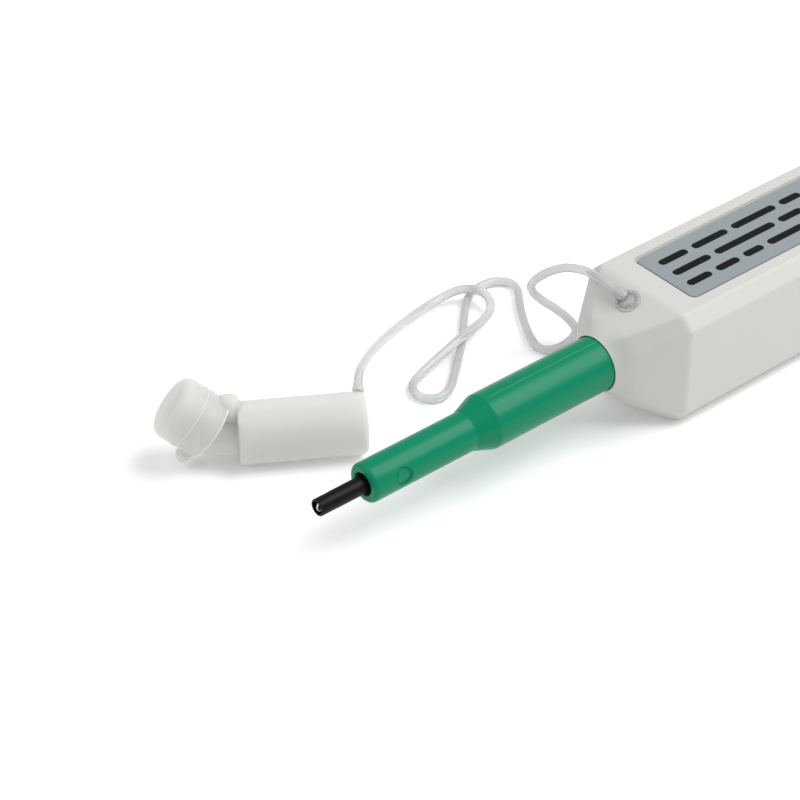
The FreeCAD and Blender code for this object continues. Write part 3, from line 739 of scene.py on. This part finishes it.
def snap_boss():
    """Snap in the recess: a disc laid on the cylinder, with an eased rim and a shallow dimple."""
    rho = np.array([0.0, 0.2, 0.4, 0.52, 0.62, 0.72, 0.86, 1.0, 1.08, 1.13, 1.15])
    h = np.array([-0.29, -0.29, -0.285, -0.275, -0.26, -0.25, -0.245, -0.25, -0.27, -0.31, -0.6])
    f = full_circle(48)
    rr, ff = np.meshgrid(rho, f, indexing="ij")
    radial = NARROW_R + np.broadcast_to(h[:, None], rr.shape)
    q = BUTTON_Q + rr * np.sin(ff) / NARROW_R
    top = np.stack([BUTTON_X + rr * np.cos(ff), radial * np.cos(q), AXIS_Z + radial * np.sin(q)], -1)
    back = top[-1:].mean(axis=1, keepdims=True).repeat(top.shape[1], axis=1)
    return np.concatenate([top, back])


grid = snap_boss()
snap = mesh_piece("nozzle_snap_disc", in_frame(grid), grid_faces(*grid.shape[:2], False, True),
                  "carriage", GREEN)
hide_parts("nozzle_snap")


def tip_shell():
    """Black tip: a thin tube turned about the nozzle axis, with a slight step and a rounded mouth."""
    profile = rounded([
        (TIP_X, 0.93), (TIP_X, TIP_R - 0.02), (TIP_X + 2.5, TIP_R - 0.02), (TIP_X + 2.6, TIP_R),
        (-20.0, TIP_R), (-20.0, 0.93)], [0.1, 0.14, 0.05, 0.05, 0.0, 0.0], True, 6)
    return turned_grid(profile, (0.0, 0.0, AXIS_Z), (1.0, 0.0, 0.0), full_circle(64))


grid = tip_shell()
tip = mesh_piece("tip_shell", in_frame(grid), grid_faces(*grid.shape[:2], True, True), "tip",
                 BLACK)
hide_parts("tip_tube")


def tip_end():
    """Core inside the tip: a slightly dished end, x = x0 - 0.25 (rho / r)^2, on a plain rod."""
    rho = np.array([0.0, 0.25, 0.5, 0.7, 0.82, 0.9, 0.93, 0.93])
    x = TIP_X + 0.95 - 0.25 * (rho / 0.93) ** 2
    x[-1] = -22.0
    profile = np.column_stack([x, rho])
    grid = turned_grid(profile, (0.0, 0.0, AXIS_Z), (1.0, 0.0, 0.0), full_circle(48))
    end = grid[-1:].mean(axis=1, keepdims=True).repeat(grid.shape[1], axis=1)
    return np.concatenate([grid, end])


grid = tip_end()
# The core's near-black finish is painted shade inside the tip's mouth.
core = mesh_piece("tip_nose", in_frame(grid), grid_faces(*grid.shape[:2], False, True),
                  "tip", TIP_CORE_PAINTED_SHADE)
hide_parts("tip_core")


def thread_strands():
    """Cleaning thread over the tip's nose: two strands side by side, each a half loop with straight legs.

    Strand k runs from a leg at one side, round the nose as a half ellipse, and back along the other side.
    """
    s = np.linspace(-math.pi / 2.0, math.pi / 2.0, 25)
    arc_x = TIP_X + 0.72 - 0.66 * np.cos(s)
    arc_z = AXIS_Z + 0.72 * np.sin(s)
    leg_x = np.array([-38.0, -41.0, -44.0, -46.2])
    x = np.concatenate([leg_x, arc_x, leg_x[::-1]])
    z = np.concatenate([np.full(4, AXIS_Z - 0.72), arc_z, np.full(4, AXIS_Z + 0.72)])
    grids, faces, start = [], [], 0
    for k in range(2):
        y = np.full_like(x, (k - 0.5) * 0.12)
        path = np.column_stack([x, y, z])
        grid = closed_ends(tube_grid(path, 0.07, (0.0, 1.0, 0.0), 8))
        faces.append(grid_faces(*grid.shape[:2], False, True, start))
        start += grid.shape[0] * grid.shape[1]
        grids.append(grid.reshape(-1, 3))
    return np.concatenate(grids), np.concatenate(faces)


points, faces = thread_strands()
strands = mesh_piece("tip_strands", in_frame(points), faces, "tip", TIP_THREAD)
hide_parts("tip_thread")


# --------------------------------------------------------------------------
# guide cap, lid and strap
# --------------------------------------------------------------------------
def cap_body():
    """Guide cap turned about its axis: a barrel with a slight draft, a square shoulder and the neck."""
    floor = SHOULDER + 1.0
    outer = [(MOUTH, CAP_BORE), (MOUTH, CAP_R - 0.03), (SHOULDER, CAP_R), (SHOULDER, NECK_R),
             (NECK_END, NECK_R - 0.06), (NECK_END, NECK_BORE), (floor, NECK_BORE), (floor, CAP_BORE)]
    radii = [0.35, 0.8, 0.35, 0.3, 0.4, 0.2, 0.0, 0.3]
    profile = supported(rounded(outer, radii, True, 8), True)
    return turned_grid(profile, (0.0, 0.0, 0.0), (1.0, 0.0, 0.0), full_circle(96))


grid = cap_body()
cap = mesh_piece("cap_barrel", in_frame(lay_cap(grid)), grid_faces(*grid.shape[:2], True, True),
                 "housing", CAP)

LID_R = 4.45
LID_X1 = -8.75
LID_LEN = 6.8


def lid_body():
    """Lid: a cup turned about the cap's axis, from the middle of its outer end round the rim to its floor."""
    x2 = LID_X1 - LID_LEN
    outline = [(x2, 0.0), (x2, LID_R - 0.06), (LID_X1 - 0.75, LID_R - 0.02), (LID_X1 - 0.6, LID_R + 0.06),
               (LID_X1, LID_R + 0.06), (LID_X1, 3.9), (LID_X1 - 3.2, 3.82), (LID_X1 - 3.5, 3.4),
               (x2 + 0.9, 3.35), (x2 + 0.9, 0.0)]
    radii = [0.0, 1.35, 0.05, 0.05, 0.22, 0.2, 0.2, 0.2, 0.6, 0.0]
    profile = supported(rounded(outline, radii, False, 8), False)
    return turned_grid(profile, (0.0, 0.0, 0.0), (1.0, 0.0, 0.0), full_circle(96))


grid = lid_body()
lid = mesh_piece("cap_lid_cup", in_frame(lay_cap(open_lid(grid))), grid_faces(*grid.shape[:2], False, True),
                 "cap_lid", CAP)
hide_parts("cap_lid")


def edge_ring(x, radius, thick):
    """A round edge: a circle of the given thickness carried round the cap's axis at x."""
    q = full_circle(12)
    profile = np.column_stack([x + thick * np.cos(q), radius + thick * np.sin(q)])
    return turned_grid(profile, (0.0, 0.0, 0.0), (1.0, 0.0, 0.0), full_circle(96))


# The rim and step rings use the lighter cap copy, a painted highlight along the lid's edges.
for name, x, radius, thick in (("lid_rim_edge", LID_X1 - 0.14, LID_R - 0.06, 0.17),
                               ("lid_step_edge", LID_X1 - 3.4, LID_R - 0.05, 0.11)):
    grid = edge_ring(x, radius, thick)
    mesh_piece(name, in_frame(lay_cap(open_lid(grid))), grid_faces(*grid.shape[:2], True, True),
               "cap_lid", CAP_EDGE_HIGHLIGHT)


def superblock(centre, size, power, nu=24, nv=40):
    """A soft block: a superellipsoid, each axis sign(c)|c|^(2/power) of a sphere's cosines and sines."""
    u = np.linspace(-math.pi / 2.0, math.pi / 2.0, nu)[:, None]
    v = full_circle(nv)[None, :]
    e = 2.0 / power

    def f(w):
        """sign(w) |w|^(2 / power)."""
        return np.sign(w) * np.abs(w) ** e

    x = f(np.cos(u)) * f(np.cos(v))
    y = f(np.cos(u)) * f(np.sin(v))
    z = f(np.sin(u)) + 0.0 * v
    return np.array(centre) + np.stack([x, y, z], -1) * np.array(size)


grid = superblock((LID_X1 - 1.05, 0.0, -4.75), (0.95, 1.35, 1.25), 2.5)
mesh_piece("lid_thumb_tab", in_frame(lay_cap(open_lid(grid))), grid_faces(*grid.shape[:2], False, True),
           "cap_lid", CAP)

grid = superblock((-9.4, 0.0, 3.7), (1.75, 1.95, 1.9), 2.6, 32, 48)
strap = mesh_piece("lid_strap", in_frame(lay_cap(grid)), grid_faces(*grid.shape[:2], False, True),
                   "blend", CAP)
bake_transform(strap)

# --------------------------------------------------------------------------
# return spring
# --------------------------------------------------------------------------
def spring_wire(x1, x2, mean, wire, turns):
    """Spring: a round wire carried along the helix (x1 + (x2 - x1) s, R cos(2 pi n s), R sin(2 pi n s)).

    x1 and x2 are moved in by the wire's radius, so that the spring ends at them.
    """
    s = np.linspace(0.0, 1.0, turns * 40 + 1)
    q = 2.0 * math.pi * turns * s
    path = np.column_stack([x1 + wire + (x2 - x1 - 2.0 * wire) * s, mean * np.cos(q),
                            AXIS_Z + mean * np.sin(q)])
    return closed_ends(tube_grid(path, wire, (1.0, 0.0, 0.0), 10))


SPRING_X1, SPRING_X2 = 72.0, 104.0
SPRING_R, SPRING_WIRE_R, SPRING_TURNS = 3.9, 0.4, 11
grid = spring_wire(SPRING_X1, SPRING_X2, SPRING_R, SPRING_WIRE_R, SPRING_TURNS)
spring = mesh_piece("return_spring_coil", in_frame(grid), grid_faces(*grid.shape[:2], False, True),
                    "blend", STEEL)
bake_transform(spring)
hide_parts("return_spring")

# --------------------------------------------------------------------------
# tether, its plug and its moulded root
# --------------------------------------------------------------------------
ROUTE = np.array([
    (-90.8, 17.0, 7.9), (-89.9, 18.2, 8.8), (-86.0, 21.9, 7.3), (-79.7, 26.2, 5.2), (-72.7, 29.9, 3.2),
    (-64.0, 33.4, 1.0), (-58.9, 32.2, 2.3), (-57.2, 28.5, 2.1), (-59.4, 25.6, 1.0), (-67.1, 22.9, 2.5),
    (-74.7, 22.1, 0.7), (-78.7, 20.6, 0.65), (-79.7, 17.9, 0.65), (-78.0, 15.7, 0.65), (-75.3, 16.1, 0.65),
    (-71.6, 19.2, 0.65), (-66.0, 24.2, 0.65), (-60.8, 29.8, 0.65), (-57.4, 32.4, 0.65), (-52.9, 32.4, 0.65),
    (-50.9, 29.4, 0.65), (-55.1, 24.2, 0.65), (-58.6, 18.2, 0.65), (-59.4, 15.2, 0.65), (-57.4, 13.8, 0.65),
    (-54.6, 13.9, 0.9), (-53.5, 13.7, 2.4), (-54.9, 15.6, 4.9), (-58.8, 17.8, 8.6), (-59.6, 17.5, 11.4),
    (-57.4, 14.2, 14.6), (-57.2, 9.6, 16.6), (-58.0, 5.8, 17.6), (-58.0, 3.6, 17.5), (-58.0, 2.0, 17.35)])

curve = bpy.data.curves.new("tether", "CURVE")
curve.dimensions = "3D"
curve.resolution_u = 10
curve.bevel_depth = TETHER_D * 0.0005
curve.bevel_resolution = 6
curve.use_fill_caps = True
line = curve.splines.new("NURBS")
line.points.add(len(ROUTE) - 1)
line.points.foreach_set("co", np.column_stack([ROUTE * 0.001, np.ones(len(ROUTE))]).ravel())
line.order_u = 3
line.use_endpoint_u = True
tether = bpy.data.objects.new("tether", curve)
bpy.context.collection.objects.link(tether)
curve.materials.append(CLEAR)
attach(tether, "housing")
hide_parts("tether_cord")

NORMAL = np.array([-math.sin(SLOPE), 0.0, math.cos(SLOPE)])
PLUG_AT = np.array([5.9, 0.3, HEIGHT - (FRONT_LEN - 5.9) * math.tan(SLOPE)])


def plug_head():
    """Plug: a low round head with a raised rim, a groove and a centre button, turned about its axis."""
    profile = rounded([(-0.52, 0.0), (-0.52, PLUG_R), (0.24, PLUG_R), (0.24, 1.42), (0.02, 1.28), (0.02, 1.0),
                       (0.5, 0.9), (0.55, 0.0)], [0.0, 0.2, 0.3, 0.2, 0.15, 0.15, 0.35, 0.0], False, 7)
    return turned_grid(profile, PLUG_AT, NORMAL, full_circle(72))


grid = plug_head()
plug = mesh_piece("plug_head", in_frame(grid), grid_faces(*grid.shape[:2], False, True),
                  "housing", GLOSS)
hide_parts("tether_plug")


def flared_root(a, b, radii):
    """A short tube between two points whose radius changes along it, shut at both ends."""
    a = np.asarray(a, float)
    b = np.asarray(b, float)
    s = np.linspace(0.0, 1.0, len(radii))[:, None]
    path = a * (1.0 - s) + b * s
    up = (0.0, 0.0, 1.0) if abs((b - a)[2]) < 0.9 * np.linalg.norm(b - a) else (0.0, 1.0, 0.0)
    return closed_ends(tube_grid(path, np.array(radii), up, 32))


LAND = ROUTE - np.array([FRONT_AT, 0.0, 0.0])
tail = (LAND[-1] - LAND[-2]) / np.linalg.norm(LAND[-1] - LAND[-2])
grid = flared_root(LAND[-1] - tail * 0.35, LAND[-1] + tail * 1.6, [0.63, 0.66, 0.70, 0.72, 0.70, 0.5])
mesh_piece("plug_collar", in_frame(grid), grid_faces(*grid.shape[:2], False, True),
           "housing", CLEAR)
out = (LAND[1] - LAND[0]) / np.linalg.norm(LAND[1] - LAND[0])
grid = flared_root(LAND[0] - out * 0.35, LAND[0] + out * 1.0, [0.80, 0.82, 0.80, 0.76, 0.71, 0.67, 0.64])
mesh_piece("tether_root", in_frame(grid), grid_faces(*grid.shape[:2], False, True),
           "housing", CAP)
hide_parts("guide_cap")

# --------------------------------------------------------------------------
# finishes of the parts that stay as they are
# --------------------------------------------------------------------------
# The grey core slot gets the near-black core finish, which is painted shade inside the tip's mouth.
FINISH = {"shell_white": SHELL, "label_grey": LABEL, "nozzle_green": GREEN, "tip_black": BLACK,
          "tip_core_grey": TIP_CORE_PAINTED_SHADE, "cap_translucent": CAP, "clear_silicone": CLEAR, "inner_white": INNER,
          "thread_white": THREAD, "spring_steel": STEEL, "screw_steel": STEEL}
slots = {s["node"]: s["material_slot"] for s in frame["record"]["subparts"]}
for node, obj in frame["nodes"].items():
    finish = FINISH[slots[node]]
    if obj.material_slots:
        for place in obj.material_slots:
            place.material = finish
    else:
        obj.data.materials.append(finish)

# --------------------------------------------------------------------------
# table, lights and camera
# --------------------------------------------------------------------------
def table():
    """The table's top: one flat square, 2.4 m across, a fiftieth of a millimetre under the pen."""
    mesh = bpy.data.meshes.new("table")
    r, z = 1.2, -0.00002
    mesh.from_pydata([(-r, -r, z), (r, -r, z), (r, r, z), (-r, r, z)], [], [(0, 1, 2, 3)])
    top = bpy.data.objects.new("table", mesh)
    bpy.context.collection.objects.link(top)
    mat = plastic("table_white", (0.90, 0.90, 0.90), (0.92, 0.92, 0.92), 0.75, 0.02, 900.0, 0.05, 6.0, 1.0,
                  Emission_Color=(1.0, 1.0, 1.0, 1.0), Emission_Strength=0.15)
    mesh.materials.append(mat)


table()

world = bpy.data.worlds.new("studio")
bpy.context.scene.world = world
world.use_nodes = True
sky = world.node_tree.nodes["Background"].inputs
sky["Color"].default_value = (1.0, 1.0, 1.0, 1.0)
sky["Strength"].default_value = 0.41


LIGHT_AIM = np.array([-0.05, 0.0, 0.008])


def softbox(name, azimuth, elevation, distance, size, power):
    """A square area light that looks at the nozzle from a compass direction and a height."""
    a, e = math.radians(azimuth), math.radians(elevation)
    d = np.array([math.sin(a) * math.cos(e), -math.cos(a) * math.cos(e), math.sin(e)])
    lamp = bpy.data.lights.new(name, "AREA")
    lamp.shape = "SQUARE"
    lamp.size = size
    lamp.energy = power
    obj = bpy.data.objects.new(name, lamp)
    bpy.context.collection.objects.link(obj)
    place_looking(obj, LIGHT_AIM + d * distance, d, 0.0)


def place_looking(obj, spot, back, roll):
    """Camera or lamp at spot, looking against back, with its right-hand side level and then rolled."""
    back = back / np.linalg.norm(back)
    right = np.cross(-back, [0.0, 0.0, 1.0])
    right = right / np.linalg.norm(right)
    up = np.cross(right, -back)
    r, u = (right * math.cos(roll) + up * math.sin(roll)), (-right * math.sin(roll) + up * math.cos(roll))
    m = np.eye(4)
    m[:3, 0], m[:3, 1], m[:3, 2], m[:3, 3] = r, u, back, spot
    obj.matrix_world = Matrix(m)


softbox("key", 58.0, 55.0, 0.9, 0.7, 7.7)
softbox("rim", -120.0, 45.0, 1.0, 0.8, 3.4)

CAM_AZ, CAM_EL, CAM_ROLL = -39.375, 37.137, -0.134
CAM_AWAY = 0.35437
cam_data = bpy.data.cameras.new("camera")
cam_data.sensor_width = 36.0
cam_data.lens = 119.14
cam_data.shift_x = 0.013
cam_data.shift_y = -0.0228
cam_data.clip_start = 0.01
cam_data.clip_end = 10.0
camera = bpy.data.objects.new("camera", cam_data)
bpy.context.collection.objects.link(camera)
az, el = math.radians(CAM_AZ), math.radians(CAM_EL)
to_cam = np.array([math.sin(az) * math.cos(el), -math.cos(az) * math.cos(el), math.sin(el)])
target = np.array([FRONT_AT - 23.748, 14.699, 8.805]) * 0.001
place_looking(camera, target + to_cam * CAM_AWAY, to_cam, math.radians(CAM_ROLL))
bpy.context.scene.camera = camera
bpy.context.scene.view_settings.view_transform = "Standard"
bpy.context.scene.view_settings.look = "None"
